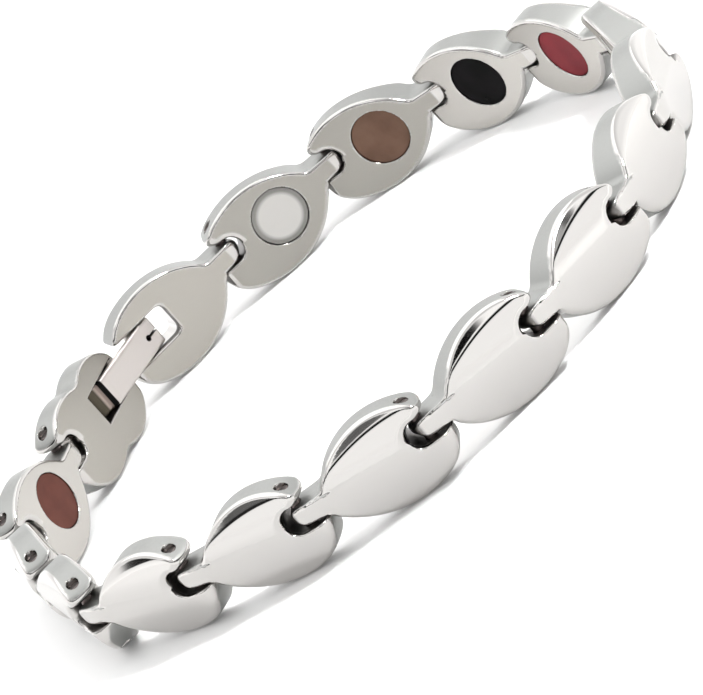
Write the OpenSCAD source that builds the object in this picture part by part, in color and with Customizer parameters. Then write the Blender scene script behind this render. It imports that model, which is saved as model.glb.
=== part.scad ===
// A magnetic link bracelet: a closed chain of leaf-shaped links, each with a
// flush round disc on its inner face, joined by upright pins, and closed by a
// lever that hooks over a catch pin. It rests on the lower edges of its links.
//
// Each link is modelled in its own frame: the pin of its tongue at the origin,
// X along the link to its next pin, +Y toward the wrist, Z up from the line
// through the middle of the pins. All lengths are millimetres.

/* [Leaf links] */
// Distance between the two pins of a leaf link
pitch = 12; // [11:0.5:14]
// Height of a leaf link at its widest place
leaf_h = 8.6; // [8:0.1:10]
// Distance from the widest place of a leaf to its fork pin
leaf_belly = 3.5; // [3:0.1:4]
// Distance from the tongue pin to the point where the two edges would meet
leaf_tip = 1.5; // [1.2:0.1:1.8]
// How far the middle of a leaf lies under the middle of its pins
leaf_drop = 0.5; // [0:0.05:0.7]
// Distance from the plane of the pins to the flat inner face
inner_y = 1.6; // [1.5:0.05:1.8]
// Distance from the plane of the pins to the crease of the outer face
crease_y = 1.8; // [1.7:0.05:2.1]
// Distance from the plane of the pins to the outer edge of the side wall
wall_y = 0.75; // [0.5:0.05:1]
// Radius of the large round of the outer face above the crease
crown_r = 30; // [24:1:40]
// Lean of that round at the crease, in degrees
crown_lean = 8; // [6:0.5:9]
// Radius of the large round of the outer face below the crease
low_crown_r = 24; // [18:1:30]
// Lean of that round at the crease, in degrees
low_crown_lean = 8; // [4:0.5:9]
// Height of the crease over the pin line at the root of the tongue
crease_rise = 0.9; // [0:0.1:1.2]
// Radius of the bevel between the upper side wall and the outer face
bevel_r = 50; // [40:1:70]
// Lean of that bevel, in degrees
bevel_lean = 32; // [26:1:36]

/* [Pin joints] */
// Diameter of a link pin
pin_d = 1; // [0.8:0.05:1.1]
// Running clearance of a link pin in its bore, on the radius
pin_gap = 0.05; // [0.03:0.01:0.09]
// Depth of a pin's end inside its hole
pin_recess = 0.3; // [0.1:0.05:0.6]
// Height of a tongue
tongue_h = 2; // [1.6:0.1:2.2]
// Reach of the end of a tongue past its pin
knuckle_r = 1.3; // [1.15:0.05:1.35]
// Clearance between a tongue and the notch that it turns in
notch_gap = 0.25; // [0.15:0.05:0.35]
// Extra half width of a notch at its mouth
notch_flare = 0.3; // [0:0.05:0.4]
// Reach of the fork's lobes past their pin
lobe_r = 2.05; // [1.9:0.05:2.2]
// Clearance between the lobes and the shoulders of the next link
shoulder_gap = 0.15; // [0.1:0.05:0.3]

/* [Discs] */
// Diameter of a disc
disc_d = 5; // [4:0.1:5.4]
// Thickness of a disc
disc_t = 1; // [0.6:0.1:1.2]
// Clearance round and under a disc
disc_gap = 0.05; // [0.03:0.01:0.1]
// Distance from the widest place of a leaf back to the middle of its disc
disc_back = 1.8; // [1.4:0.1:2.2]

/* [Catch link] */
// Distance from the tongue pin of the catch link to its catch pin
catch_len = 10.9; // [10.5:0.1:12]
// Distance from the widest place of the catch link to its catch pin
catch_belly = 2.4; // [2.2:0.1:2.6]
// Reach of the catch link past its catch pin
catch_end = 2.9; // [2.5:0.05:3]
// Distance from the catch pin back to the end of the window
window_back = 3.15; // [2.6:0.05:3.4]
// Clearance between the lever and each side of the window
window_gap = 0.3; // [0.2:0.05:0.45]
// Depth of the blind end of the catch pin and the lever pin
pin_seat = 1.2; // [0.8:0.1:1.4]

/* [Lever] */
// Distance from the catch pin to the hinge pin of the lever
lever_len = 8; // [7.8:0.1:8.6]
// Height of the lever
lever_h = 2.85; // [2.4:0.05:3]
// Thickness of the lever's plate
lever_t = 0.75; // [0.6:0.05:0.85]
// Distance from the hinge pin to the end of the plate's flat face
lever_neck = 1; // [0.8:0.1:1.3]
// Thickness of the hook round the catch pin
hook_t = 0.45; // [0.35:0.05:0.6]
// Clearance of the hook on the catch pin
hook_gap = 0.1; // [0.06:0.01:0.15]
// Reach of the hook's lip past the middle of the catch pin
hook_lip = 0.35; // [0.2:0.05:0.5]
// Diameter of the lever's hinge pin
lever_pin_d = 0.8; // [0.7:0.05:0.9]
// Radius of the barrel round the hinge pin
barrel_r = 0.95; // [0.85:0.05:1]
// Width of the slit in the hooked end
slit_w = 0.3; // [0.2:0.05:0.4]
// Length of that slit up to its round hole
slit_len = 1.3; // [1.1:0.1:2]
// Diameter of the round hole
slit_hole_d = 0.56; // [0.45:0.01:0.7]

/* [Lever link] */
// Distance from the lever's hinge pin to the fork pin of the lever link
base_len = 7.4; // [7.2:0.1:8]
// Reach of the lever link over its hinge pin toward the catch link
base_top = 4.5; // [4.2:0.1:4.7]
// Height of the lever link at its lobe round the hinge
hinge_lobe_h = 8.4; // [8:0.1:8.6]
// Distance from the hinge pin back to the widest place of that lobe
hinge_lobe_shift = 0.3; // [0.1:0.1:0.5]
// Height of the lever link at its lobe near the fork
fork_lobe_h = 8.5; // [8:0.1:9]
// Distance from the widest place of that lobe to the fork pin
fork_belly = 2.5; // [2.3:0.1:2.8]
// Distance from that place to the point where the lobe's edges would meet
fork_lobe_half = 5.5; // [5.2:0.1:6]
// Clearance between the lever and each side of its pocket
pocket_gap = 0.1; // [0.06:0.01:0.15]
// Clearance under the lever in its pocket
pocket_floor_gap = 0.15; // [0.1:0.05:0.2]
// Distance from the hinge pin to the end wall of the pocket
pocket_end = 1.9; // [1.85:0.05:2.1]

/* [Hidden] */
$fn = 64;
// Facets of the very large rounds
FINE = 240;
// Length that reaches well past a link in any direction
FAR = 30;
// Largest distance of a cutting shape outside the faces that it cuts
OVER = 0.4;

// Headings of the eighteen steps of the loop, in degrees: twelve leaf links,
// the catch link, the lever, the lever link and three leaf links
ROUTE = [-48, -33, -16, 10, 30, 53, 69, 91, 115, 132, 155, 180, 191, 217, 231, 235, 272, 278];
CATCH = 12;
LEVER = 13;
BASE = 14;
STEPS = len(ROUTE);
LEAVES = [for (k = [0 : STEPS - 1]) if (k < CATCH || k > BASE) k];
// Places where one link's tongue turns in another link's fork
HINGES = [for (k = [0 : STEPS - 1]) if (k <= CATCH || k > BASE) k];

DISC_COLOURS = [
    "black", "rosybrown", "silver", "firebrick", "black", "rosybrown", "silver", "silver",
    "firebrick", "black", "rosybrown", "silver", "rosybrown", "silver", "firebrick"
];

function step_len(k) =
    k == CATCH ? catch_len :
    k == LEVER ? lever_len :
    k == BASE ? base_len : pitch;
function along(heading) = [cos(heading), sin(heading)];
function across(heading) = [-sin(heading), cos(heading)];
function total(list) = [for (item = list) 1] * list;

// The route closes on itself at any link length: each round turns every step
// by the least amount that removes the gap left between the two ends
function closed(headings, rounds) = rounds == 0 ? headings : let(
    gap = total([for (k = [0 : STEPS - 1]) step_len(k) * along(headings[k])]),
    turn = [for (k = [0 : STEPS - 1]) step_len(k) * across(headings[k])],
    xx = total([for (t = turn) t.x * t.x]),
    xy = total([for (t = turn) t.x * t.y]),
    yy = total([for (t = turn) t.y * t.y]),
    spread = xx * yy - xy * xy,
    pull = [(yy * gap.x - xy * gap.y) / spread, (xx * gap.y - xy * gap.x) / spread]
) closed([for (k = [0 : STEPS - 1]) headings[k] - (turn[k] * pull) * 180 / PI], rounds - 1);

HEADINGS = closed(ROUTE, 6);
function pin_at(k) = k == 0 ? [0, 0] : pin_at(k - 1) + step_len(k - 1) * along(HEADINGS[k - 1]);
PINS = [for (k = [0 : STEPS - 1]) pin_at(k)];

// Middle of the loop, from points along the outer faces of its links
function rim_start(k) = k == BASE ? pin_d - base_top : leaf_tip + pin_d;
RIM = [for (k = [0 : STEPS - 1]) if (k != LEVER) each [
    for (x = [rim_start(k) : pin_d / 4 : step_len(k) + lobe_r / 2])
        PINS[k] + x * along(HEADINGS[k]) - (crease_y - 2 * pin_gap) * across(HEADINGS[k])
]];
MIDDLE = [
    (max([for (p = RIM) p.x]) + min([for (p = RIM) p.x])) / 2,
    (max([for (p = RIM) p.y]) + min([for (p = RIM) p.y])) / 2
];
PIN_Z = leaf_h / 2 + leaf_drop;

leaf_mid = pitch - leaf_belly;
function lens_r(half_len, height) = (half_len * half_len + height * height / 4) / height;
// Half height of a lens at a distance x from its middle
function lens_height(half_len, height, x) = let(radius = lens_r(half_len, height))
    sqrt(radius * radius - x * x) - radius + height / 2;
notch_h = tongue_h + 2 * notch_gap;
tongue_end_x = tongue_h / 2 - knuckle_r;
shoulder_r = lobe_r + shoulder_gap;
lever_top = inner_y;
lever_under = inner_y - lever_t;
window_h = lever_h + 2 * window_gap;
pocket_h = lever_h + 2 * pocket_gap;
hook_in = pin_d / 2 + hook_gap;
hook_out = hook_in + hook_t;

module place(k) {
    translate([PINS[k].x - MIDDLE.x, PINS[k].y - MIDDLE.y, PIN_Z]) rotate(HEADINGS[k]) children();
}

// Turns a drawing of X and Z into a plate from y0 to y1
module plate(y0, y1) {
    translate([0, y1, 0]) rotate([90, 0, 0]) linear_extrude(y1 - y0) children();
}

// Turns a drawing of X and Y into a solid that reaches past a link's edges
module upright() {
    linear_extrude(FAR, center = true) children();
}

// Two equal arcs that meet in two points
module lens(half_len, height) {
    radius = lens_r(half_len, height);
    intersection_for (side = [-1, 1])
        translate([0, side * (radius - height / 2)]) circle(radius, $fn = FINE);
}

// Outline of a tongue, from its round end to the middle of its link
module tongue_outline(reach) {
    translate([tongue_end_x, 0]) circle(tongue_h / 2);
    translate([tongue_end_x, -tongue_h / 2]) square([reach - tongue_end_x, tongue_h]);
}

// A lens whose far tip is cut back by an arc about the middle of the lens
module blunt_lens(half_len, height, end_r) {
    intersection() {
        lens(half_len, height);
        union() {
            circle(end_r);
            translate([-FAR, -FAR / 2]) square([FAR, FAR]);
        }
    }
}

// Outline of a leaf about its widest place mid, with its round end at end_x
module leaf_outline(mid, end_x) {
    tongue_outline(mid);
    translate([mid, -leaf_drop]) blunt_lens(mid - leaf_tip, leaf_h, end_x - mid);
}

// The outer face: two large rounds that meet in a crease, which falls from the
// root of the tongue to the apex of the notch
module crown(crease_x0, crease_x1, rise) {
    fall = atan2(rise, crease_x1 - crease_x0);
    translate([crease_x1, -crease_y, 0]) rotate([0, fall, 0]) intersection() {
        large_round(crown_r, -crown_lean);
        large_round(low_crown_r, low_crown_lean);
    }
}

module large_round(radius, lean) {
    rotate([lean, 0, 0]) translate([0, radius, 0]) rotate([0, 90, 0])
        cylinder(r = radius, h = 2 * FAR, center = true, $fn = FINE);
}

// The shallow bevel along the upper edge of the outer face, seen as a crescent
module bevel(mid) {
    translate([mid, -wall_y, leaf_h / 2 - leaf_drop]) rotate([-bevel_lean, 0, 0])
        translate([0, bevel_r, 0]) cylinder(r = bevel_r, h = 2 * FAR, center = true, $fn = FINE);
}

// Plan of a link: a round knuckle that thickens into the link, and a round end
module link_plan(end_x, end_r) {
    circle(knuckle_r);
    root_x = shoulder_r + OVER;
    neck = 0.97 * knuckle_r;
    polygon([
        [0, -neck], [root_x, -crease_y - OVER / 2], [end_x, -crease_y - OVER],
        [end_x, inner_y + OVER], [root_x, inner_y + OVER], [0, neck]
    ]);
    translate([end_x, 0]) circle(end_r);
}

// Room for the lobes of the link before, above and below the tongue
module shoulder_cuts() {
    for (side = [0, 1])
        mirror([0, 0, side]) translate([0, 0, tongue_h / 2]) cylinder(r = shoulder_r, h = FAR);
}

module bore(x, diameter) {
    translate([x, 0, 0]) cylinder(d = diameter, h = FAR, center = true);
}

// The notch of a fork, open at its mouth and through the link
module notch(x) {
    mouth_x = lobe_r + OVER;
    plate_far = crease_y + OVER;
    translate([x, 0, 0]) plate(-plate_far, plate_far) {
        translate([tongue_end_x, 0]) circle(notch_h / 2);
        polygon([
            [tongue_end_x, -notch_h / 2], [0, -notch_h / 2], [mouth_x, -notch_h / 2 - notch_flare],
            [mouth_x, notch_h / 2 + notch_flare], [0, notch_h / 2], [tongue_end_x, notch_h / 2]
        ]);
    }
}

module leaf_link() {
    difference() {
        intersection() {
            plate(-crease_y - OVER, inner_y) leaf_outline(leaf_mid, pitch + lobe_r);
            crown(shoulder_r, pitch - knuckle_r - notch_gap, crease_rise);
            bevel(leaf_mid);
            upright() link_plan(pitch, lobe_r);
        }
        shoulder_cuts();
        notch(pitch);
        bore(0, pin_d + 2 * pin_gap);
        bore(pitch, pin_d + 2 * pin_gap);
        disc_seat(disc_d / 2 + disc_gap, disc_t + disc_gap, OVER);
    }
}

// A round set into the inner face of a leaf, to a depth and standing out by over
module disc_seat(radius, depth, over) {
    translate([leaf_mid - disc_back, inner_y + over, -leaf_drop / 2]) rotate([90, 0, 0])
        cylinder(r = radius, h = depth + over);
}

module disc(k) {
    color(DISC_COLOURS[k]) disc_seat(disc_d / 2, disc_t, 0);
}

module hinge_pin() {
    fork_half = lens_height(leaf_mid - leaf_tip, leaf_h, leaf_belly);
    z_top = fork_half - leaf_drop - pin_recess;
    z_low = -fork_half - leaf_drop + pin_recess;
    color("dimgray") translate([0, 0, z_low]) cylinder(d = pin_d, h = z_top - z_low);
}

// A bore that is open below and blind above
module blind_bore(x, diameter, top) {
    translate([x, 0, -FAR]) cylinder(d = diameter, h = FAR + top);
}

module catch_link() {
    mid = catch_len - catch_belly;
    color("gainsboro") difference() {
        intersection() {
            plate(-crease_y - OVER, inner_y) leaf_outline(mid, catch_len + catch_end);
            crown(shoulder_r, catch_len - window_back, crease_rise);
            bevel(mid);
            upright() link_plan(catch_len, catch_end);
        }
        shoulder_cuts();
        bore(0, pin_d + 2 * pin_gap);
        translate([catch_len - window_back, -FAR / 2, -window_h / 2]) cube([FAR, FAR, window_h]);
        blind_bore(catch_len, pin_d + 2 * pin_gap, window_h / 2 + pin_seat + pin_gap);
    }
}

module catch_pin() {
    low = pin_recess - leaf_drop - lens_height(catch_len - catch_belly - leaf_tip, leaf_h, catch_belly);
    color("dimgray") translate([catch_len, 0, low])
        cylinder(d = pin_d, h = window_h / 2 + pin_seat - low);
}

// Plan of the lever: a plate, a hook over the catch pin and a barrel
module lever_plan() {
    difference() {
        union() {
            translate([-hook_out, lever_under]) square([lever_len - lever_neck + hook_out, lever_t]);
            intersection() {
                circle(hook_out);
                translate([-hook_out, -hook_lip]) square([2 * hook_out, hook_lip + lever_top]);
            }
        }
        circle(hook_in);
        translate([-hook_in, -FAR]) square([2 * hook_in, FAR]);
    }
    // The neck falls from the end of the plate to the barrel
    polygon([
        [lever_len - lever_neck - lever_t, lever_under + lever_t / 4], [lever_len - lever_neck, lever_under],
        [lever_len - barrel_r / 2, 0], [lever_len, 0], [lever_len - barrel_r / 5, 0.95 * barrel_r],
        [lever_len - lever_neck, lever_top], [lever_len - lever_neck - lever_t, lever_top - lever_t / 4]
    ]);
    translate([lever_len, 0]) circle(barrel_r);
}

module clasp_lever() {
    slit_x = slit_len - hook_out;
    color("whitesmoke") difference() {
        linear_extrude(lever_h, center = true) lever_plan();
        bore(lever_len, lever_pin_d + 2 * pin_gap);
        plate(hook_in, lever_top + OVER) {
            translate([-2 * hook_out, -slit_w / 2]) square([slit_x + 2 * hook_out, slit_w]);
            translate([slit_x, 0]) circle(d = slit_hole_d);
        }
    }
}

// Outline of the lever link: two lobes with a waist between them
module base_outline() {
    translate([-hinge_lobe_shift, -leaf_drop]) lens(base_top, hinge_lobe_h);
    translate([base_len - fork_belly, -leaf_drop])
        blunt_lens(fork_lobe_half, fork_lobe_h, fork_belly + lobe_r);
}

// Plan of the lever link, round about the hinge pin and about the fork pin
module base_plan() {
    circle(base_top);
    translate([0, -FAR / 2]) square([base_len, FAR]);
    translate([base_len, 0]) circle(lobe_r);
}

module lever_link() {
    swing = HEADINGS[LEVER] - HEADINGS[BASE];
    color("gainsboro") difference() {
        intersection() {
            plate(-crease_y - OVER, inner_y) base_outline();
            crown(0, base_len - knuckle_r - notch_gap, 0);
            upright() base_plan();
        }
        notch(base_len);
        bore(base_len, pin_d + 2 * pin_gap);
        blind_bore(0, lever_pin_d + 2 * pin_gap, pocket_h / 2 + pin_seat + pin_gap);
        linear_extrude(pocket_h, center = true) {
            circle(barrel_r + pocket_floor_gap);
            square([pocket_end, inner_y + OVER]);
            rotate(swing) translate([-lever_len, lever_under - pocket_floor_gap]) square([lever_len, FAR]);
        }
    }
}

module lever_pin() {
    low = pin_recess - leaf_drop - lens_height(base_top, hinge_lobe_h, hinge_lobe_shift);
    color("dimgray") translate([0, 0, low]) cylinder(d = lever_pin_d, h = pocket_h / 2 + pin_seat - low);
}

function label(name, index) = str(name, index < 9 ? "_0" : "_", index + 1);

for (i = [0 : len(LEAVES) - 1])
    place(LEAVES[i]) color("gainsboro") leaf_link();
for (i = [0 : len(LEAVES) - 1])
    place(LEAVES[i]) disc(i);
for (i = [0 : len(HINGES) - 1])
    place(HINGES[i]) hinge_pin();
place(CATCH) catch_link();
place(CATCH) catch_pin();
place(LEVER) clasp_lever();
place(BASE) lever_link();
place(BASE) lever_pin();
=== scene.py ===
"""Looks of a link bracelet: polished leaf links with satin walls, flush discs, pins and a lever clasp."""
import math

import bpy
import numpy as np
from mathutils import Matrix, Vector


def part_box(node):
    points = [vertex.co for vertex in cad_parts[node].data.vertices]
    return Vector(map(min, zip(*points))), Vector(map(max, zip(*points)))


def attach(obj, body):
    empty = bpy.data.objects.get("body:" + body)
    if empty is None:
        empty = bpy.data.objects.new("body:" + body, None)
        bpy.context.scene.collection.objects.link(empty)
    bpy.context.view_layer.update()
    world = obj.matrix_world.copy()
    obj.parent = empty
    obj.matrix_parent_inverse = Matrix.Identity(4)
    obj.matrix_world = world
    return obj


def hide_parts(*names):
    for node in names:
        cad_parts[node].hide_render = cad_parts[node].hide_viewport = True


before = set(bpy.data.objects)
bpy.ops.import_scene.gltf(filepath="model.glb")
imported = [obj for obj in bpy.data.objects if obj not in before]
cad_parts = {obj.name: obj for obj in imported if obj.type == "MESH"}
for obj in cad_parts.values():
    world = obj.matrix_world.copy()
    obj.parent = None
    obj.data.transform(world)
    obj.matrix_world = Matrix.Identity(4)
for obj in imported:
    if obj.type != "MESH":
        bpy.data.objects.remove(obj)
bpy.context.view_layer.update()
MM = 0.001

# All sizes of the pieces are in millimetres, in a link's own frame: its tongue
# pin at the origin, x along the link, y toward the wrist, z up

# Leaf outline and the flat inner face
PITCH = 12.0
LEAF_H = 8.6
LEAF_BELLY = 3.5
LEAF_TIP = 1.5
LEAF_DROP = 0.5
INNER_Y = 1.6
BORE_R = 0.55
LENS_TIP_ROUND = 0.3
BLUNT_END_ROUND = 0.7
ROOT_ROUND = 0.35

# Outer face: two large rounds that meet in a crease, and the crescent bevel over them
CREASE_Y = 1.8
CREASE_RISE = 0.9
CREASE_ROUND = 0.06
CROWN_R = 30.0
CROWN_LEAN = math.radians(8)
LOWER_R = 24.0
LOWER_LEAN = math.radians(8)
WALL_Y = 0.75
BEVEL_R = 50.0
BEVEL_LEAN = math.radians(32)
BEVEL_ROUND = 0.08

# Dip of the upper round toward the tongue
DIP_X = 3.4
DIP_LEN = 1.4
DIP_DEPTH = 0.22

# Tongue: its outline, and its plan with the round about the pin
TONGUE_HALF = 1.0
TONGUE_TOP = 1.1
TONGUE_LOW = 0.6
TONGUE_FALL = 0.28
TONGUE_FALL_FROM = 0.4
TONGUE_REACH = 1.1
TONGUE_CORNER_ROUND = 0.5
TONGUE_END_ROUND = 1.5
KNUCKLE_R = 1.3
KNUCKLE_SLOPE = 0.26
KNUCKLE_SQUASH = 1.2
HEEL_X = 0.3
HEEL_SQUASH = 1.15
HEEL_CLEAR = 0.4
KNUCKLE_ROUND = 0.3
SHOULDER_R = 2.2
SHOULDER_ROUND = 0.25

# Fork: its notch and its two lobes
NOTCH_GAP = 0.25
NOTCH_MID = 0.2
NOTCH_HALF = 1.15
NOTCH_DEPTH = 0.15
FLARE = 0.22
FLARE_LEN = 2.6
FLARE_POWER = 2.2
LOBE_R = 2.05
LOBE_SHORTER = 0.12
LOBE_TOP_ROUND = 1.4
LOBE_LOW_ROUND = 0.25

# Rounding of the other edges of a link
TOP_EDGE = 0.3
BOTTOM_EDGE_MORE = 0.4
NOTCH_EDGE = 0.2
LOBE_TIP_MORE = 0.35
LOBE_TIP_Z = 1.2
FLAT_EDGE = 0.42
PIN_BORE_EDGE = 0.05
END_BORE_EDGE = 0.1
SEAT_EDGE = 0.06

# Discs
DISC_R = 2.5
DISC_T = 1.0
DISC_GAP = 0.05
DISC_BACK = 1.8
DISC_SINK = 0.13
DISC_RIM = 0.08
DISC_RING_R = 2.1
RING_FADE = 0.08

# Lever: a plate with a slit, a hook at one end and a barrel about its pin at the other
LEVER_HALF = 1.425
LEVER_T = 0.75
LEVER_NECK = 1.0
LEVER_BORE_R = 0.45
LEVER_SIDE_EDGE = 0.3
LEVER_FACE_EDGE = 0.25
LEVER_BORE_EDGE = 0.08
HOOK_IN = 0.6
HOOK_OUT = 1.05
HOOK_LIP = 0.35
HOOK_ROOT_ROUND = 0.2
HOOK_EDGE = 0.1
NECK_BACK = 0.2
NECK_END_BACK = 0.35
NECK_END_Y = 0.3
NECK_R = 0.36
NECK_ROUND = 0.3
BARREL_R = 0.95
BARREL_ROUND = 0.2
SLIT_HALF = 0.1
SLIT_LEN = 1.3
SLIT_HOLE_R = 0.26
SLIT_FLOOR = 1.0
SLIT_EDGE = 0.04
SLIT_X = SLIT_LEN - HOOK_OUT

# Catch link, with the window that the lever lies in
CATCH_BELLY = 2.4
CATCH_END = 2.9
CATCH_END_EDGE = 0.5
WINDOW_BACK = 3.15
WINDOW_HALF = LEVER_HALF + 0.12
WINDOW_CORNER_ROUND = 0.8
WINDOW_EDGE = 0.3
BLIND_DEPTH = 1.25

# Lever link: a lobe about the lever's pin, a lobe with the fork, and the lever's pocket
HINGE_LOBE_HALF = 4.5
HINGE_LOBE_H = 8.4
HINGE_LOBE_SHIFT = 0.3
FORK_LOBE_HALF = 5.5
FORK_LOBE_H = 8.5
FORK_BELLY = 2.5
WAIST_ROUND = 0.7
BASE_CREASE_ROUND = 0.12
BASE_FACE_EDGE = 0.6
BASE_FLAT_EDGE = 0.3
BASE_END_EDGE = 0.5
POCKET_HALF = LEVER_HALF + 0.1
POCKET_END = 1.9
POCKET_FLOOR = 0.15
POCKET_EDGE = 0.12

# Rounding of the pins' rims, and the sides around a pin and around a disc
PIN_RIM = 0.12
PIN_SIDES = 32
DISC_SIDES = 96

# Spacing of the mesh over a link and over the lever, half as wide this close to a bore,
# and how its points are moved onto the surface
LINK_STEP = 0.145
LEVER_STEP = 0.08
FINE_HALF = 0.7
GRADIENT_STEP = 0.004
SETTLE_ROUNDS = 5

# Satin marks: how close to the outline a wall counts, how far it stays from the faces,
# how near the inner face the flat begins, and where the tongue's top is satin
WALL_BAND = 0.02
WALL_BAND_FADE = 0.04
WALL_FROM_FACE = 0.2
WALL_FROM_FLAT = 0.22
WALL_FADE = 0.08
FLAT_BAND = 0.02
FLAT_FADE = 0.015
FLAT_FACING = 0.97
FLAT_FACING_FADE = 0.025
ROOT_FACING = 0.7
ROOT_FACING_FADE = 0.15
ROOT_X = 4.4
ROOT_FADE = 0.3

# Painted shade in recesses: its strength in a leaf, how far along the notch and beside the catch
# pin it reaches, the band inside the window, and the back of the lever link's pocket
LEAF_RECESS_SHADE = 0.8
FORK_SHADE_LEN = 2.0
CATCH_SHADE_LEN = 1.2
WINDOW_BAND = 0.8
POCKET_BACK = -1.2

# Tones of the steel: polished places, satin walls, and the painted shade in recesses
POLISH_TINT = (0.56, 0.545, 0.53, 1)
WALL_TINT = (0.31, 0.313, 0.303, 1)
RECESS_SHADE_TINT = (0.05, 0.045, 0.04, 1)
POLISH_ROUGH = (0.07, 0.13)
SATIN_ROUGH = (0.34, 0.46)
RECESS_ROUGH = 0.4
GRAIN_DEPTH = 0.00002

# Parts of a noise's range that a roughness or a tone goes through
NOISE_SPAN = (0.3, 0.7)
SMEAR_SPAN = (0.3, 0.75)
MOTTLE_SPAN = (0.35, 0.65)

# Tints of the satin inner faces: the even one, and a darker and a paler copy of it that paint in
# how light or dark some links' faces look by what they reflect; and the links that have another than the even
# one
FACE_TINTS = {
    "shaded": (0.345, 0.332, 0.305, 1),
    "even": (0.42, 0.402, 0.366, 1),
    "pale": (0.585, 0.565, 0.535, 1),
}
FACE_LIGHTING_BY_LINK = {"leaf_09": "pale", "leaf_10": "pale", "leaf_11": "shaded", "leaf_12": "shaded", "leaf_13": "pale"}

# Tone of the lever along its length: its own pale plate, then painted light where it dips into the pocket:
# a black painted shadow in the gap, a tan painted reflection on the neck and painted shade on the barrel,
# as parts of the stretch between two places on it
LEVER_TONE_FROM = 6.0
LEVER_TONE_TO = 9.0
LEVER_PLATE_AND_SHADE_TONES = (
    (0.0, (0.59, 0.553, 0.53, 1)),
    (0.33, (0.59, 0.553, 0.53, 1)),
    (0.345, (0.01, 0.01, 0.01, 1)),
    (0.44, (0.01, 0.01, 0.01, 1)),
    (0.46, (0.32, 0.26, 0.23, 1)),
    (0.58, (0.3, 0.25, 0.22, 1)),
    (0.64, (0.07, 0.06, 0.045, 1)),
    (1.0, (0.07, 0.06, 0.045, 1)),
)
LEVER_RECESS_SHADE_TINT = (0.04, 0.035, 0.03, 1)
LEVER_ROUGH = (0.3, 0.42)
# Tones of the pins: a random mottle, kept dark as painted shade for the pin ends deep in their bores
PIN_MOTTLE_AND_SHADE_TONES = ((0.09, 0.075, 0.07, 1), (0.19, 0.16, 0.155, 1))
PIN_ROUGH = 0.3

# Colours of the discs: the body colour and its darker mottle
GLOSS_COLOURS = {
    "red": ((0.21, 0.022, 0.03, 1), (0.16, 0.015, 0.022, 1)),
    "black": ((0.006, 0.005, 0.006, 1), (0.002, 0.002, 0.002, 1)),
    "brown": ((0.165, 0.098, 0.07, 1), (0.12, 0.07, 0.05, 1)),
    "russet": ((0.13, 0.05, 0.038, 1), (0.1, 0.038, 0.03, 1)),
}
GLOSS_ROUGH = 0.08
GLOSS_SPECULAR = 0.035
SILVER_TINT = (0.52, 0.51, 0.49, 1)
SILVER_RING_TINT = (0.2, 0.195, 0.185, 1)
SILVER_ROUGH = (0.28, 0.38)
DISC_COLOURS = ("black", "brown", "silver", "red", "black", "brown", "silver", "silver",
                "red", "black", "brown", "silver", "russet", "silver", "red")

# Floor, in metres: its half width, and where it begins to glow and glows in full
FLOOR_HALF = 0.4
FLOOR_TINT = (0.8, 0.8, 0.796, 1)
FLOOR_ROUGH = 0.6
FLOOR_GLOW_FROM = 0.06
FLOOR_GLOW_TO = 0.12
FLOOR_GLOW = (0.08, 0.5)

# Camera: its axes in the world, its place in millimetres and its focal length
CAMERA_RIGHT = (0.74914, -0.2158, -0.62628)
CAMERA_UP = (0.66241, 0.24904, 0.70654)
CAMERA_BACK = (0.0035, -0.94415, 0.32951)
CAMERA_PLACE = (0.934, -621.62, 219.16)
FOCAL_LENGTH = 411.57

# Brightness of the tent by the height of the direction, on the camera's side and behind
TENT_FRONT = ((0.0, 1.55), (0.23, 1.5), (0.28, 0.02), (0.46, 0.02), (0.54, 1.7), (0.74, 1.7), (0.82, 1.0),
              (1.0, 1.1))
TENT_REAR = ((0.0, 1.8), (0.35, 1.5), (0.75, 1.1), (1.0, 1.0))
TENT_TURN_FROM = -0.25
TENT_TURN_TO = 0.05

# Dark things round the tent: azimuth, elevation and radius in degrees, and the light left there
DARK_PATCHES = (
    (172, 25, 6, 0.0),
    (-162, 34, 8, 0.12),
    (-130, 42, 7.5, 0.1),
    (-77, 44, 7.5, 0.0),
    (-91, 44, 8, 0.0),
    (-31, 38, 7, 0.35),
    (-24, 36, 2.2, 0.0),
)
PATCH_EDGE = 0.15


def fade(value, width):
    """0 where a value is below zero, 1 where it is above the width, and even between."""
    return np.clip(value / width, 0.0, 1.0)


def smax(a, b, k):
    """Larger of two distances, with the edge between them rounded over a width k."""
    h = np.maximum(k - np.abs(a - b), 0.0) / k
    return np.maximum(a, b) + h * h * k * 0.25


def smin(a, b, k):
    """Smaller of two distances, with the corner between them filled over a width k."""
    return -smax(-a, -b, k)


def disc2(x, z, cx, cz, r):
    """Distance from a circle in the plane."""
    return np.hypot(x - cx, z - cz) - r


def bore(x, y, at, r):
    """Solid left around an upright bore."""
    return r - np.hypot(x - at, y)


def lens(x, z, cx, cz, half, height):
    """Outline of two equal arcs that meet in a tip at each end."""
    r = (half * half + height * height / 4) / height
    off = r - height / 2
    return smax(disc2(x, z, cx, cz - off, r), disc2(x, z, cx, cz + off, r), LENS_TIP_ROUND)


def blunt_lens(x, z, cx, cz, half, height, end_r):
    """The same outline, ended by a circle at its far side."""
    end = np.hypot(np.maximum(x - cx, 0.0), z - cz) - end_r
    return smax(lens(x, z, cx, cz, half, height), end, BLUNT_END_ROUND)


def tongue_bar(x, z, reach):
    """Outline of a tongue: level along its top, its bottom falling toward the link."""
    low = -z - TONGUE_LOW - TONGUE_FALL * np.clip(x + TONGUE_FALL_FROM, -0.5, 2.0)
    bar = smax(smax(z - TONGUE_TOP, low, TONGUE_CORNER_ROUND), -x - TONGUE_REACH, TONGUE_END_ROUND)
    return np.maximum(bar, x - reach)


def leaf_outline(x, z, mid, end_x):
    """Outline of a leaf and its tongue: widest at mid, and blunt at its far end."""
    blade = blunt_lens(x, z, mid, -LEAF_DROP, mid - LEAF_TIP, LEAF_H, end_x - mid)
    return smin(tongue_bar(x, z, mid), blade, ROOT_ROUND)


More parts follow.
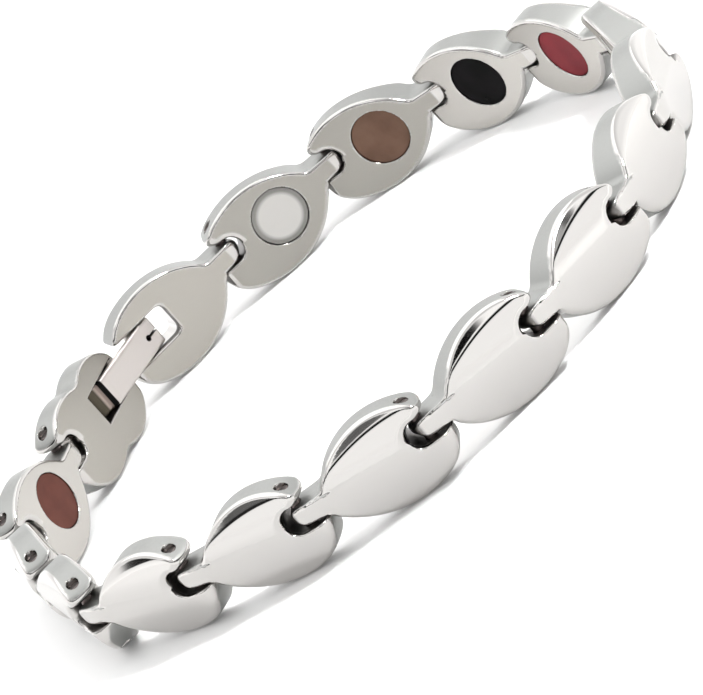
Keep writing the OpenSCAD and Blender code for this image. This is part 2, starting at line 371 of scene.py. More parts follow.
def notch(x, z, fork_x):
    """Outline of a notch: close under the tongue, and opening upward at its mouth."""
    flare = FLARE * np.clip(x - fork_x, 0.0, FLARE_LEN) ** FLARE_POWER * (z > NOTCH_MID)
    return np.hypot(np.minimum(x - fork_x + NOTCH_DEPTH, 0.0), z - NOTCH_MID) - NOTCH_HALF - flare


def lobes(x, y, z, fork_x):
    """Ends of the two lobes of a fork, the upper one shorter and rounded."""
    reach = LOBE_R - LOBE_SHORTER * fade(z, 2.0)
    end = np.hypot(np.maximum(x - fork_x, 0.0), y) - reach
    slot = -notch(x, z, fork_x)
    return np.where(z > NOTCH_MID, smax(end, slot, LOBE_TOP_ROUND), smax(end, slot, LOBE_LOW_ROUND))


def crease_height(x, z, x0, x1, rise):
    """Distance above the crease line, seen from outside."""
    fall = math.atan2(rise, x1 - x0)
    return z * math.cos(fall) + (x - x1) * math.sin(fall)


def outer_face(x, y, z, mid, crease):
    """Two large rounds that meet in a crease, and the crescent bevel over them.
    Near the tongue the upper round dips, so that the tongue's flank shows."""
    dip = DIP_DEPTH * fade(DIP_X - x, DIP_LEN)
    up_y = CREASE_Y - CROWN_R * math.cos(CROWN_LEAN)
    upper = np.hypot(crease + CROWN_R * math.sin(CROWN_LEAN), y + up_y - dip) - CROWN_R
    low_y = CREASE_Y - LOWER_R * math.cos(LOWER_LEAN)
    lower = np.hypot(crease - LOWER_R * math.sin(LOWER_LEAN), y + low_y) - LOWER_R
    root = smin(upper, crease, CREASE_ROUND)
    face = smax(lower, np.where(x < DIP_X, root, upper), CREASE_ROUND)
    rise = (z - LEAF_H / 2 + LEAF_DROP) * math.sin(BEVEL_LEAN)
    normal = rise - (y + WALL_Y) * math.cos(BEVEL_LEAN)
    bevel = np.hypot(x - mid, normal + BEVEL_R) - BEVEL_R
    return smax(face, np.minimum(bevel, crease), BEVEL_ROUND)


def knuckle(x, y):
    """Plan of a tongue: round about its pin, thickening into the link. Past the pin its inner
    side stands clear of the inner face."""
    flank = (np.abs(y) - KNUCKLE_R - KNUCKLE_SLOPE * x) * math.cos(math.atan(KNUCKLE_SLOPE))
    outer = np.where(x > 0, flank, np.hypot(x * KNUCKLE_SQUASH, y) - KNUCKLE_R)
    heel = np.minimum(x - HEEL_X, 0.0) * HEEL_SQUASH
    inner = np.hypot(heel, y) - INNER_Y - HEEL_CLEAR * fade(x, 1.0)
    return np.where(y < 0, outer, inner)


def shoulders(x, y, z):
    """Room that the neighbour's lobes need above and below the tongue."""
    return np.minimum(SHOULDER_R - np.hypot(x, y), np.abs(z - NOTCH_MID) - TONGUE_HALF)


def edge_width(z):
    """Rounding of the outer edge: narrow along the top, wide along the bottom."""
    return TOP_EDGE + BOTTOM_EDGE_MORE * fade(-z, 1.0)


def tip_width(x, z, fork_x):
    """Rounding of a fork's lobes: crisp at the notch, wider toward the upper tip."""
    return NOTCH_EDGE + LOBE_TIP_MORE * fade(z - LOBE_TIP_Z, 1.0) * fade(x - fork_x, 1.0)


def leaf(x, y, z):
    mid = PITCH - LEAF_BELLY
    crease = crease_height(x, z, SHOULDER_R, PITCH - KNUCKLE_R - NOTCH_GAP, CREASE_RISE)
    outline = leaf_outline(x, z, mid, PITCH + LOBE_R)
    face = outer_face(x, y, z, mid, crease)
    f = smax(outline, face, edge_width(z))
    f = smax(f, y - INNER_Y, FLAT_EDGE)
    f = smax(f, knuckle(x, y), KNUCKLE_ROUND)
    f = smax(f, shoulders(x, y, z), SHOULDER_ROUND)
    f = smax(f, lobes(x, y, z, PITCH), tip_width(x, z, PITCH))
    f = smax(f, bore(x, y, 0.0, BORE_R), PIN_BORE_EDGE)
    f = smax(f, bore(x, y, PITCH, BORE_R), PIN_BORE_EDGE)
    within = DISC_R + DISC_GAP - disc2(x, z, mid - DISC_BACK, -LEAF_DROP / 2, 0.0)
    seat = np.minimum(within, y - INNER_Y + DISC_T + DISC_GAP)
    f = smax(f, seat, SEAT_EDGE)
    return f, outline, face


def catch(x, y, z):
    length = LENGTHS["catch_link"]
    mid = length - CATCH_BELLY
    crease = crease_height(x, z, SHOULDER_R, length - WINDOW_BACK, CREASE_RISE)
    outline = leaf_outline(x, z, mid, length + CATCH_END)
    face = outer_face(x, y, z, mid, crease)
    f = smax(outline, face, edge_width(z))
    f = smax(f, y - INNER_Y, FLAT_EDGE)
    f = smax(f, knuckle(x, y), KNUCKLE_ROUND)
    f = smax(f, np.hypot(np.maximum(x - length, 0.0), y) - CATCH_END, CATCH_END_EDGE)
    f = smax(f, shoulders(x, y, z), SHOULDER_ROUND)
    window = smin(WINDOW_HALF - np.abs(z), x - length + WINDOW_BACK, WINDOW_CORNER_ROUND)
    f = smax(f, window, WINDOW_EDGE)
    f = smax(f, bore(x, y, 0.0, BORE_R), END_BORE_EDGE)
    blind = np.minimum(bore(x, y, length, BORE_R), WINDOW_HALF + BLIND_DEPTH - z)
    f = smax(f, blind, END_BORE_EDGE)
    return f, outline, face


def pocket(x, y, z):
    """Room for the lever's barrel, for its swing inward and for its plate."""
    swing = TURNS["clasp_lever"] - TURNS["lever_link"]
    across = -x * math.sin(swing) + y * math.cos(swing)
    ahead = x * math.cos(swing) + y * math.sin(swing)
    room = bore(x, y, 0.0, BARREL_R + POCKET_FLOOR)
    room = np.maximum(room, np.minimum(np.minimum(x, POCKET_END - x), y))
    room = np.maximum(room, np.minimum(across - INNER_Y + LEVER_T + POCKET_FLOOR, -ahead))
    return np.minimum(room, POCKET_HALF - np.abs(z))


def base(x, y, z):
    length = LENGTHS["lever_link"]
    hinge_lobe = lens(x, z, -HINGE_LOBE_SHIFT, -LEAF_DROP, HINGE_LOBE_HALF, HINGE_LOBE_H)
    fork_lobe = blunt_lens(x, z, length - FORK_BELLY, -LEAF_DROP, FORK_LOBE_HALF, FORK_LOBE_H,
                           FORK_BELLY + LOBE_R)
    outline = smin(hinge_lobe, fork_lobe, WAIST_ROUND)
    up_y = CREASE_Y - CROWN_R * math.cos(CROWN_LEAN)
    upper = np.hypot(z + CROWN_R * math.sin(CROWN_LEAN), y + up_y) - CROWN_R
    lower = np.hypot(z - CROWN_R * math.sin(CROWN_LEAN), y + up_y) - CROWN_R
    face = smax(upper, lower, BASE_CREASE_ROUND)
    f = smax(outline, face, BASE_FACE_EDGE)
    f = smax(f, y - INNER_Y, BASE_FLAT_EDGE)
    f = smax(f, np.hypot(np.minimum(x, 0.0), y) - HINGE_LOBE_HALF, BASE_END_EDGE)
    f = smax(f, lobes(x, y, z, length), tip_width(x, z, length))
    f = smax(f, bore(x, y, length, BORE_R), END_BORE_EDGE)
    blind = np.minimum(bore(x, y, 0.0, LEVER_BORE_R), POCKET_HALF + BLIND_DEPTH - z)
    f = smax(f, blind, LEVER_BORE_EDGE)
    f = smax(f, pocket(x, y, z), POCKET_EDGE)
    return f, outline, face


def slit(x, z):
    """Distance from the outline of the slit with its round hole."""
    return np.minimum(np.hypot(np.maximum(x - SLIT_X, 0.0), z) - SLIT_HALF,
                      np.hypot(x - SLIT_X, z) - SLIT_HOLE_R)


def neck(x, y, length):
    """Plan of the slanting neck between the lever's plate and its barrel."""
    x0, y0 = length - LEVER_NECK - NECK_BACK, INNER_Y - LEVER_T + LEVER_T / 2
    x1, y1 = length - NECK_END_BACK, NECK_END_Y
    run = (x - x0) * (x1 - x0) + (y - y0) * (y1 - y0)
    run = np.clip(run / ((x1 - x0) ** 2 + (y1 - y0) ** 2), 0.0, 1.0)
    return np.hypot(x - x0 - run * (x1 - x0), y - y0 - run * (y1 - y0)) - NECK_R


def lever(x, y, z):
    length = LENGTHS["clasp_lever"]
    under = INNER_Y - LEVER_T
    plate = np.maximum(
        np.abs(x - (length - LEVER_NECK - HOOK_OUT) / 2) - (length - LEVER_NECK + HOOK_OUT) / 2,
        np.abs(y - under - LEVER_T / 2) - LEVER_T / 2)
    hook = np.maximum(np.hypot(x, y) - HOOK_OUT, -HOOK_LIP - y)
    plan = smin(plate, hook, HOOK_ROOT_ROUND)
    plan = smax(plan, HOOK_IN - np.where(y > 0, np.hypot(x, y), np.abs(x)), HOOK_EDGE)
    plan = smin(plan, neck(x, y, length), NECK_ROUND)
    plan = smin(plan, np.hypot(x - length, y) - BARREL_R, BARREL_ROUND)
    f = smax(plan, np.abs(z) - LEVER_HALF, LEVER_SIDE_EDGE)
    f = smax(f, y - INNER_Y, LEVER_FACE_EDGE)
    f = smax(f, np.minimum(-slit(x, z), y - SLIT_FLOOR), SLIT_EDGE)
    f = smax(f, bore(x, y, length, LEVER_BORE_R), LEVER_BORE_EDGE)
    return f, plan, plan


def rows(low, high, step, fine):
    """Places of the mesh rows along one axis, half as far apart within each fine stretch."""
    places = np.arange(low - step * 1.5, high + step * 2.5, step)
    middles = (places[1:] + places[:-1]) / 2
    near = np.zeros(len(middles), bool)
    for start, end in fine:
        near |= (middles > start) & (middles < end)
    return np.sort(np.concatenate([places, middles[near]]))


def gradient(shape, points):
    """Direction in which a solid's distance grows, at each point."""
    h = GRADIENT_STEP
    slope = np.zeros_like(points)
    for n in range(3):
        ahead, behind = points.copy(), points.copy()
        ahead[:, n] += h
        behind[:, n] -= h
        slope[:, n] = (shape(*ahead.T)[0] - shape(*behind.T)[0]) / (2 * h)
    return slope


def settle(shape, points, step):
    """Moves the points onto a solid's surface."""
    for _ in range(SETTLE_ROUNDS):
        slope = gradient(shape, points)
        size = np.maximum((slope ** 2).sum(1), 0.05)
        move = -shape(*points.T)[0] / size
        points += slope * np.clip(move, -step, step)[:, None]
    return points


def net(shape, low, high, step, fine):
    """Vertices and quads of a solid's surface, one vertex for each cell that it crosses,
    moved onto the surface."""
    axes = [rows(a, b, step, stretches) for a, b, stretches in zip(low, high, fine)]
    gx, gy, gz = np.meshgrid(*axes, indexing="ij")
    value = shape(gx, gy, gz)[0]
    inside = value < 0
    corners = [value[i:value.shape[0] - 1 + i, j:value.shape[1] - 1 + j, k:value.shape[2] - 1 + k]
               for i in (0, 1) for j in (0, 1) for k in (0, 1)]
    marks = sum((c < 0).astype(np.int8) for c in corners)
    cells = np.argwhere((marks > 0) & (marks < 8))
    index = -np.ones(marks.shape, np.int64)
    index[tuple(cells.T)] = np.arange(len(cells))
    middles = [(axes[n][cells[:, n]] + axes[n][cells[:, n] + 1]) / 2 for n in range(3)]
    points = settle(shape, np.stack(middles, 1), step)
    quads = []
    for axis in range(3):
        here = [slice(None)] * 3
        beyond = [slice(None)] * 3
        here[axis] = slice(0, -1)
        beyond[axis] = slice(1, None)
        starts = np.argwhere(inside[tuple(here)] != inside[tuple(beyond)])
        u, v = (axis + 1) % 3, (axis + 2) % 3
        ring = []
        for du, dv in ((-1, -1), (0, -1), (0, 0), (-1, 0)):
            c = starts.copy()
            c[:, u] += du
            c[:, v] += dv
            ring.append(index[tuple(c.T)])
        ring = np.stack(ring, 1)
        leaving = inside[tuple(starts.T)]
        quads.append(np.where(leaving[:, None], ring, ring[:, ::-1]))
    return points, np.vstack(quads)


def finish_marks(shape, points, normals):
    """How satin each vertex is, on the side walls and on the inner face, 0 on polished places."""
    _, outline, face = shape(*points.T)
    x, y, _ = points.T
    near_wall = 1 - fade(np.abs(outline) - WALL_BAND, WALL_BAND_FADE)
    wall = near_wall * fade(-face - WALL_FROM_FACE, WALL_FADE) * fade(INNER_Y - y - WALL_FROM_FLAT, WALL_FADE)
    flat = fade(y - INNER_Y + FLAT_BAND, FLAT_FADE) * fade(normals[:, 1] - FLAT_FACING, FLAT_FACING_FADE)
    root = fade(normals[:, 2] - ROOT_FACING, ROOT_FACING_FADE) * fade(ROOT_X - x, ROOT_FADE)
    return np.maximum(wall, root), flat


def leaf_recess_shade(x, y, z, face):
    """Where a leaf is painted dark as shade: behind and before its tongue, and inside its notch."""
    hidden = fade(-face - 0.1, 0.4) * fade(INNER_Y - 0.15 - y, 0.1)
    beside_tongue = np.abs(z - NOTCH_MID) > TONGUE_HALF + 0.02
    behind = fade(SHOULDER_R + 0.1 - np.hypot(x, y), 0.1) * beside_tongue
    front = fade(-0.3 - x, 0.3)
    fork = fade(0.15 - notch(x, z, PITCH), 0.1) * (x > PITCH - FORK_SHADE_LEN)
    return LEAF_RECESS_SHADE * hidden * np.maximum(np.maximum(behind, front), fork)


def catch_recess_shade(x, y, z, face):
    """Where the catch link is painted dark as shade: a band along the window's sides, the whole side by the
    pin.
    """
    window_end = LENGTHS["catch_link"] - WINDOW_BACK
    by_pin = x > LENGTHS["catch_link"] - CATCH_SHADE_LEN
    sides = fade(0.06 - np.abs(z) + WINDOW_HALF, 0.05) * (x > window_end - 0.06)
    beside = by_pin | (z < 0) | (x < window_end + 0.2)
    behind = np.minimum(fade(y - INNER_Y + WINDOW_BAND, 0.1) + by_pin, 1)
    return sides * beside * behind * fade(INNER_Y - 0.1 - y, 0.05)


def base_recess_shade(x, y, z, face):
    """Where the lever link is painted dark as shade: its pocket."""
    within = fade(POCKET_HALF + 0.05 - np.abs(z), 0.05)
    return within * (x < POCKET_END + 0.1) * (y < INNER_Y - 0.12) * (y > POCKET_BACK)


def lever_recess_shade(x, y, z, face):
    """Where the lever is painted dark as shade: its slit and hole."""
    return fade(0.04 - slit(x, z), 0.04) * (y < INNER_Y - 0.04) * (y > SLIT_FLOOR - 0.1)


def centre(node):
    low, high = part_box(node)
    return (low + high) / 2


# Each piece of the chain runs from one pin to the next
LEAVES = [f"leaf_{n:02d}" for n in range(1, 16)]
RUNS = {name: (f"pin_{n:02d}", f"pin_{n % 16 + 1:02d}") for n, name in enumerate(LEAVES[:12], 1)}
RUNS.update({
    "catch_link": ("pin_13", "catch_pin"),
    "clasp_lever": ("catch_pin", "lever_pin"),
    "lever_link": ("lever_pin", "pin_14"),
    "leaf_13": ("pin_14", "pin_15"),
    "leaf_14": ("pin_15", "pin_16"),
    "leaf_15": ("pin_16", "pin_01"),
})
PIN_Z = centre("leaf_01").z + LEAF_DROP * MM
STARTS = {name: centre(run[0]) for name, run in RUNS.items()}
ENDS = {name: centre(run[1]) for name, run in RUNS.items()}
SPANS = {name: (ENDS[name].x - STARTS[name].x, ENDS[name].y - STARTS[name].y) for name in RUNS}
TURNS = {name: math.atan2(dy, dx) for name, (dx, dy) in SPANS.items()}
LENGTHS = {name: math.hypot(dy, dx) / MM for name, (dx, dy) in SPANS.items()}

# Each kind of link: its solid, the box around it, the spacing of its mesh, the places of
# its bores and where its recesses are painted dark as shade
KINDS = {
    "leaf": (leaf, (-1.5, -2.0, -5.0), (14.3, 1.8, 4.0), LINK_STEP, (0.0, PITCH), leaf_recess_shade),
    "catch": (catch, (-1.5, -2.0, -5.0), (14.1, 1.8, 4.0), LINK_STEP, (0.0,), catch_recess_shade),
    "base": (base, (-5.0, -2.0, -5.0), (9.8, 1.8, 4.0), LINK_STEP, (LENGTHS["lever_link"],), base_recess_shade),
    "lever": (lever, (-1.3, -1.2, -1.6), (9.2, 1.8, 1.6), LEVER_STEP, (), lever_recess_shade),
}


def link_matrix(name):
    start = STARTS[name]
    return Matrix.Translation((start.x, start.y, PIN_Z)) @ Matrix.Rotation(TURNS[name], 4, "Z")


def surface(kind):
    """Points, quads, normals and marks of one kind of link, in its own frame. The lever is
    brushed all over, so it has no satin marks."""
    shape, low, high, step, bores, recess_shade = KINDS[kind]
    fine = ([(x - FINE_HALF, x + FINE_HALF) for x in bores], [(-FINE_HALF, FINE_HALF)], [])
    points, quads = net(shape, low, high, step, fine)
    normals = gradient(shape, points)
    normals /= np.maximum(np.linalg.norm(normals, axis=1), 1e-9)[:, None]
    marks = {}
    if kind != "lever":
        marks["satin_wall"], marks["satin_face"] = finish_marks(shape, points, normals)
    # The mark of where a recess is painted dark as shade
    marks["recess_shade"] = recess_shade(*points.T, shape(*points.T)[2])
    return points, quads, normals, marks


def add_piece(name, mesh, body, node):
    piece = bpy.data.objects.new(name, mesh)
    bpy.context.scene.collection.objects.link(piece)
    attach(piece, body)
    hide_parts(node)
    return piece


def build(kind_surface, node, body, steel):
    """One link, from the surface of its kind."""
    points, quads, normals, marks = kind_surface
    matrix = link_matrix(node)
    turn = np.array(matrix.to_3x3())
    place = np.array(matrix.translation)
    mesh = bpy.data.meshes.new("steel_" + node)
    mesh.vertices.add(len(points))
    mesh.vertices.foreach_set("co", (points * MM @ turn.T + place).astype(np.float32).ravel())
    mesh.loops.add(quads.size)
    mesh.loops.foreach_set("vertex_index", quads.astype(np.int32).ravel())
    mesh.polygons.add(len(quads))
    mesh.polygons.foreach_set("loop_start", np.arange(0, quads.size, 4, dtype=np.int32))
    mesh.update(calc_edges=True)
    mesh.validate()
    mesh.polygons.foreach_set("use_smooth", np.ones(len(quads), bool))
    local = mesh.attributes.new("link_place", "FLOAT_VECTOR", "POINT")
    local.data.foreach_set("vector", points.astype(np.float32).ravel())
    for label, values in marks.items():
        layer = mesh.attributes.new(label, "FLOAT", "POINT")
        layer.data.foreach_set("value", values.astype(np.float32))
    mesh.normals_split_custom_set_from_vertices((normals @ turn.T).tolist())
    piece = add_piece("steel_" + node, mesh, body, node)
    piece.data.materials.append(steel)


def lathe(name, profile, matrix, node, sides):
    """A turned piece of the band about its own z, from (radius, height) pairs in millimetres."""
    angles = np.linspace(0, 2 * math.pi, sides, endpoint=False)
    verts, faces = [], []
    for r, h in profile:
        for a in angles:
            point = (r * MM * math.cos(a), r * MM * math.sin(a), h * MM)
            verts.append((matrix @ Matrix.Translation(point)).translation)
    rings = len(profile)
    for ring in range(rings - 1):
        for n in range(sides):
            m = (n + 1) % sides
            faces.append((ring * sides + n, ring * sides + m, (ring + 1) * sides + m, (ring + 1) * sides + n))
    faces.append(tuple(reversed(range(sides))))
    faces.append(tuple((rings - 1) * sides + n for n in range(sides)))
    mesh = bpy.data.meshes.new(name)
    mesh.from_pydata([tuple(v) for v in verts], [], faces)
    mesh.polygons.foreach_set("use_smooth", np.ones(len(faces), bool))
    mesh.update()
    return add_piece(name, mesh, "band", node)


def rounded_profile(radius, low, high, edge):
    """Profile of a turned piece with flat ends and rounded rims."""
    steps = [math.radians(a) for a in (0, 15, 30, 45, 60, 75, 90)]
    rim_low = [(radius - edge + edge * math.sin(a), low + edge - edge * math.cos(a)) for a in steps]
    rim_high = [(r, high + low - h) for r, h in reversed(rim_low)]
    inner = [t * (radius - edge) for t in (0.02, 0.25, 0.5, 0.75, 0.9)]
    return [(r, low) for r in inner] + rim_low + rim_high + [(r, high) for r in reversed(inner)]


def material(name):
    made = bpy.data.materials.new(name)
    made.use_nodes = True
    nodes = made.node_tree.nodes
    return made, nodes, made.node_tree.links, nodes["Principled BSDF"]


def metal(name):
    made, nodes, links, bsdf = material(name)
    bsdf.inputs["Metallic"].default_value = 1.0
    return made, nodes, links, bsdf


def add(nodes, kind, **values):
    """A new node, with its inputs or settings by name."""
    node = nodes.new(kind)
    for key, value in values.items():
        if key in node.inputs:
            node.inputs[key].default_value = value
        else:
            setattr(node, key, value)
    return node


def plug(links, given, socket):
    """Gives a socket its value, or links it to the output that the value comes from."""
    if isinstance(given, bpy.types.NodeSocket):
        links.new(given, socket)
    else:
        socket.default_value = given


def attribute(nodes, name, output="Fac"):
    return add(nodes, "ShaderNodeAttribute", attribute_name=name).outputs[output]


def noise(nodes, links, vector, **values):
    node = add(nodes, "ShaderNodeTexNoise", **values)
    links.new(vector, node.inputs["Vector"])
    return node.outputs["Fac"]


def remap(nodes, links, value, start, end, low, high):
    """A value that goes from low to high while the given one goes from start to end."""
    node = add(nodes, "ShaderNodeMapRange")
    for key, number in (("From Min", start), ("From Max", end), ("To Min", low), ("To Max", high)):
        node.inputs[key].default_value = number
    links.new(value, node.inputs["Value"])
    return node.outputs[0]


def mix_values(nodes, links, factor, first, second):
    node = nodes.new("ShaderNodeMix")
    for given, socket in ((factor, node.inputs[0]), (first, node.inputs[2]), (second, node.inputs[3])):
        plug(links, given, socket)
    return node.outputs[0]


def mix_colours(nodes, links, factor, first, second, **values):
    node = add(nodes, "ShaderNodeMix", data_type="RGBA", **values)
    for given, socket in ((factor, node.inputs[0]), (first, node.inputs[6]), (second, node.inputs[7])):
        plug(links, given, socket)
    return node.outputs[2]


def ramp(nodes, links, value, stops):
    """Colour of a value, between (place, colour) stops."""
    node = nodes.new("ShaderNodeValToRGB")
    node.color_ramp.elements[0].position = stops[0][0]
    node.color_ramp.elements[0].color = stops[0][1]
    node.color_ramp.elements[1].position = stops[-1][0]
    node.color_ramp.elements[1].color = stops[-1][1]
    for place, colour in stops[1:-1]:
        node.color_ramp.elements.new(place).color = colour
    links.new(value, node.inputs["Fac"])
    return node.outputs["Color"]


def grey_ramp(nodes, links, value, stops):
    return ramp(nodes, links, value, [(place, (tone, tone, tone, 1)) for place, tone in stops])


def brushed(nodes, links, stretch, scale):
    """Fac of a fine grain that runs along the link."""
    mapping = add(nodes, "ShaderNodeMapping", Scale=stretch)
    links.new(attribute(nodes, "link_place", "Vector"), mapping.inputs["Vector"])
    return noise(nodes, links, mapping.outputs["Vector"], Scale=scale, Detail=6.0, Roughness=0.7)


def bump(nodes, links, height, strength, bsdf):
    node = add(nodes, "ShaderNodeBump", Strength=strength, Distance=GRAIN_DEPTH)
    links.new(height, node.inputs["Height"])
    links.new(node.outputs["Normal"], bsdf.inputs["Normal"])


def steel_material(name, face_tint):
    """Steel, mirror-polished with faint wipe marks, satin where the vertex marks say so, and painted dark as
    shade in recesses.
    """
    made, nodes, links, bsdf = metal(name)
    wall = attribute(nodes, "satin_wall")
    flat = attribute(nodes, "satin_face")
    deep = attribute(nodes, "recess_shade")
    either = add(nodes, "ShaderNodeMath", operation="MAXIMUM")
    links.new(wall, either.inputs[0])
    links.new(flat, either.inputs[1])
    coord = nodes.new("ShaderNodeTexCoord")
    smear = noise(nodes, links, coord.outputs["Object"], Scale=140.0, Detail=3.0, Roughness=0.55)
    polish = remap(nodes, links, smear, *SMEAR_SPAN, *POLISH_ROUGH)
    grain = brushed(nodes, links, (0.35, 1.0, 9.0), 3.0)
    satin = remap(nodes, links, grain, *NOISE_SPAN, *SATIN_ROUGH)
    rough = mix_values(nodes, links, either.outputs[0], polish, satin)
    rough = mix_values(nodes, links, deep, rough, RECESS_ROUGH)
    links.new(rough, bsdf.inputs["Roughness"])
    tint = mix_colours(nodes, links, flat, POLISH_TINT, face_tint)
    tint = mix_colours(nodes, links, wall, tint, WALL_TINT)
    # Painted shade: recesses darkened toward near black by the recess mark
    tint = mix_colours(nodes, links, deep, tint, RECESS_SHADE_TINT)
    links.new(tint, bsdf.inputs["Base Color"])
    scaled = add(nodes, "ShaderNodeMath", operation="MULTIPLY")
    links.new(grain, scaled.inputs[0])
    links.new(either.outputs[0], scaled.inputs[1])
    bump(nodes, links, scaled.outputs[0], 0.12, bsdf)
    return made


def lever_material():
    made, nodes, links, bsdf = metal("lever_steel")
    split = nodes.new("ShaderNodeSeparateXYZ")
    links.new(attribute(nodes, "link_place", "Vector"), split.inputs[0])
    along = remap(nodes, links, split.outputs["X"], LEVER_TONE_FROM, LEVER_TONE_TO, 0.0, 1.0)
    # Past the plate's own pale tone: a painted shadow, a painted reflection and painted shade toward the
    # barrel
    tone = ramp(nodes, links, along, LEVER_PLATE_AND_SHADE_TONES)
    # Painted shade in the lever's slit and hole
    tone = mix_colours(nodes, links, attribute(nodes, "recess_shade"), tone, LEVER_RECESS_SHADE_TINT)
    links.new(tone, bsdf.inputs["Base Color"])
    grain = brushed(nodes, links, (0.4, 1.0, 8.0), 4.0)
    links.new(remap(nodes, links, grain, *NOISE_SPAN, *LEVER_ROUGH), bsdf.inputs["Roughness"])
    bump(nodes, links, grain, 0.1, bsdf)
    return made


def pin_material():
    made, nodes, links, bsdf = metal("pin_steel")
    coord = nodes.new("ShaderNodeTexCoord")
    mottle = noise(nodes, links, coord.outputs["Object"], Scale=2500.0, Detail=4.0)
    # Pins painted dark, standing in for the shade in the bores, with a random mottle
    links.new(ramp(nodes, links, mottle, list(zip(NOISE_SPAN, PIN_MOTTLE_AND_SHADE_TONES))), bsdf.inputs["Base Color"])
    bsdf.inputs["Roughness"].default_value = PIN_ROUGH
    return made


def gloss_material(name, colour, deep):
    """Glossy disc: an even body colour with a slow mottle, and a weak shine."""
    made, nodes, links, bsdf = material(name)
    coord = nodes.new("ShaderNodeTexCoord")
    mottle = noise(nodes, links, coord.outputs["Object"], Scale=350.0, Detail=3.0)
    tone = ramp(nodes, links, mottle, list(zip(MOTTLE_SPAN, (deep, colour))))
    links.new(tone, bsdf.inputs["Base Color"])
    bsdf.inputs["Roughness"].default_value = GLOSS_ROUGH
    bsdf.inputs["Specular IOR Level"].default_value = GLOSS_SPECULAR
    return made


def silver_material():
    """Pale satin disc with a dark ring just inside its rim."""
    made, nodes, links, bsdf = metal("disc_silver")
    tone = ramp(nodes, links, attribute(nodes, "ring"), ((0.0, SILVER_TINT), (1.0, SILVER_RING_TINT)))
    links.new(tone, bsdf.inputs["Base Color"])
    coord = nodes.new("ShaderNodeTexCoord")
    grain = noise(nodes, links, coord.outputs["Object"], Scale=1800.0, Detail=4.0)
    links.new(remap(nodes, links, grain, *NOISE_SPAN, *SILVER_ROUGH), bsdf.inputs["Roughness"])
    return made


def make_links(lever_steel):
    steels = {key: steel_material("link_steel_" + key, tint) for key, tint in FACE_TINTS.items()}
    leaf_surface = surface("leaf")
    for name in LEAVES:
        # Each link's inner face takes the even tint, or a painted lit or shaded copy of it
        steel = steels[FACE_LIGHTING_BY_LINK.get(name, "even")]
        build(leaf_surface, name, "band", steel)
    build(surface("catch"), "catch_link", "band", steels["even"])
    build(surface("base"), "lever_link", "band", steels["even"])
    build(surface("lever"), "clasp_lever", "lever", lever_steel)


def mark_ring(piece, profile):
    """Marks the vertices on a disc's face that lie in its dark ring."""
    values = []
    for r, h in profile:
        on_face = h > -DISC_T / 2
        values += [fade(r - DISC_RING_R, RING_FADE) if on_face else 0.0] * DISC_SIDES
    layer = piece.data.attributes.new("ring", "FLOAT", "POINT")
    layer.data.foreach_set("value", np.array(values, np.float32))


def make_discs():
    finishes = {key: gloss_material("disc_" + key, *colours) for key, colours in GLOSS_COLOURS.items()}
    finishes["silver"] = silver_material()
    middle = (PITCH - LEAF_BELLY - DISC_BACK, INNER_Y, -LEAF_DROP / 2)
    lay = Matrix.Translation([size * MM for size in middle]) @ Matrix.Rotation(-math.pi / 2, 4, "X")
    profile = rounded_profile(DISC_R, -DISC_T, -DISC_SINK, DISC_RIM)
    for name, colour in zip(LEAVES, DISC_COLOURS):
        node = name.replace("leaf", "disc")
        piece = lathe("face_" + node, profile, link_matrix(name) @ lay, node, DISC_SIDES)
        piece.data.materials.append(finishes[colour])
        if colour == "silver":
            mark_ring(piece, profile)


def make_pins(steel):
    for node in [f"pin_{n:02d}" for n in range(1, 17)] + ["catch_pin", "lever_pin"]:
        low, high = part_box(node)
        radius = (high.x - low.x) / 2 / MM
        where = Matrix.Translation(((low.x + high.x) / 2, (low.y + high.y) / 2, low.z))
        profile = rounded_profile(radius, 0.0, (high.z - low.z) / MM, PIN_RIM)
        piece = lathe("turned_" + node, profile, where, node, PIN_SIDES)
        piece.data.materials.append(steel)


def make_floor():
    """A white floor that glows faintly under the object, which lightens its shadows, and more away from it,
    so that it goes over into the white behind.
    """
    corners = [(-1, -1), (1, -1), (1, 1), (-1, 1)]
    mesh = bpy.data.meshes.new("floor")
    mesh.from_pydata([(x * FLOOR_HALF, y * FLOOR_HALF, 0) for x, y in corners], [], [(0, 1, 2, 3)])
    floor = bpy.data.objects.new("floor", mesh)
    bpy.context.scene.collection.objects.link(floor)
    made, nodes, links, bsdf = material("floor")
    bsdf.inputs["Base Color"].default_value = FLOOR_TINT
    bsdf.inputs["Roughness"].default_value = FLOOR_ROUGH
    coord = nodes.new("ShaderNodeTexCoord")
    reach = add(nodes, "ShaderNodeVectorMath", operation="LENGTH")
    links.new(coord.outputs["Object"], reach.inputs[0])
    glow = remap(nodes, links, reach.outputs["Value"], FLOOR_GLOW_FROM, FLOOR_GLOW_TO, *FLOOR_GLOW)
    links.new(glow, bsdf.inputs["Emission Strength"])
    bsdf.inputs["Emission Color"].default_value = (1, 1, 1, 1)
    mesh.materials.append(made)


def make_camera():
    """A long view from 19 degrees above the floor, rolled 41 degrees."""
    data = bpy.data.cameras.new("camera")
    data.sensor_width = 36.0
    data.lens = FOCAL_LENGTH
    camera = bpy.data.objects.new("camera", data)
    bpy.context.scene.collection.objects.link(camera)
    lines = [[CAMERA_RIGHT[n], CAMERA_UP[n], CAMERA_BACK[n], CAMERA_PLACE[n] * MM] for n in range(3)]
    camera.matrix_world = Matrix(lines + [[0, 0, 0, 1]])
    bpy.context.scene.camera = camera


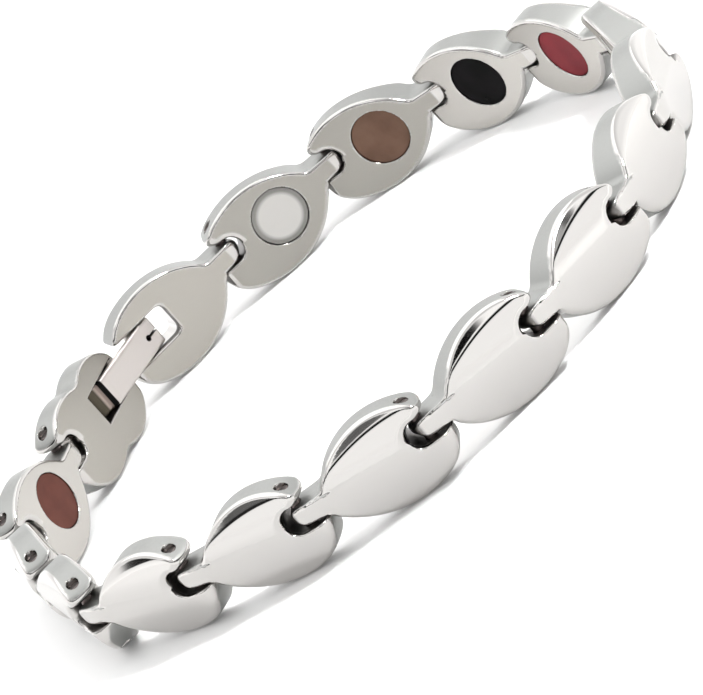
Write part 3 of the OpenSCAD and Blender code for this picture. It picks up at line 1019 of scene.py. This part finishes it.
def area(name, place, target, size, power):
    """A square light that faces its target."""
    data = bpy.data.lights.new(name, "AREA")
    data.shape = "RECTANGLE"
    data.size = size
    data.size_y = size
    data.energy = power
    light = bpy.data.objects.new(name, data)
    bpy.context.scene.collection.objects.link(light)
    light.location = place
    light.rotation_euler = (Vector(place) - Vector(target)).to_track_quat("Z", "Y").to_euler()
    return light


def darken(nodes, links, direction, colour, azimuth, elevation, radius, left):
    """Dims the sky around one direction, and gives the socket of the result."""
    azimuth, elevation, edge = math.radians(azimuth), math.radians(elevation), math.radians(radius)
    level = math.cos(elevation)
    away = add(nodes, "ShaderNodeVectorMath", operation="DISTANCE")
    away.inputs[1].default_value = (level * math.cos(azimuth), level * math.sin(azimuth), math.sin(elevation))
    links.new(direction, away.inputs[0])
    stops = ((0.0, left), (edge * (1 - PATCH_EDGE), left), (edge * (1 + PATCH_EDGE), 1.0), (1.0, 1.0))
    patch = grey_ramp(nodes, links, away.outputs["Value"], stops)
    return mix_colours(nodes, links, 1.0, colour, patch, blend_type="MULTIPLY")


def make_light():
    """A white tent with a dark band low on the camera's side, a soft light over the back and a
    small one on the right-hand links."""
    world = bpy.data.worlds.new("tent")
    bpy.context.scene.world = world
    world.use_nodes = True
    nodes, links = world.node_tree.nodes, world.node_tree.links
    direction = nodes.new("ShaderNodeTexCoord").outputs["Generated"]
    split = nodes.new("ShaderNodeSeparateXYZ")
    links.new(direction, split.inputs[0])
    front = grey_ramp(nodes, links, split.outputs["Z"], TENT_FRONT)
    rear = grey_ramp(nodes, links, split.outputs["Z"], TENT_REAR)
    side = remap(nodes, links, split.outputs["Y"], TENT_TURN_FROM, TENT_TURN_TO, 0.0, 1.0)
    colour = mix_colours(nodes, links, side, front, rear)
    for patch in DARK_PATCHES:
        colour = darken(nodes, links, direction, colour, *patch)
    background = nodes["Background"]
    links.new(colour, background.inputs["Color"])
    background.inputs["Strength"].default_value = 1.0
    area("overhead", place=(-0.04, 0.16, 0.46), target=(0, 0, 0), size=0.6, power=1.15)
    fill = area("right_fill", place=(0.3, -0.15, 0.35), target=(0.045, -0.012, 0), size=0.12, power=0.06)
    fill.data.spread = math.radians(16)


make_camera()
make_light()
make_floor()
make_links(lever_material())
make_discs()
make_pins(pin_material())
bpy.context.scene.view_settings.view_transform = "Standard"
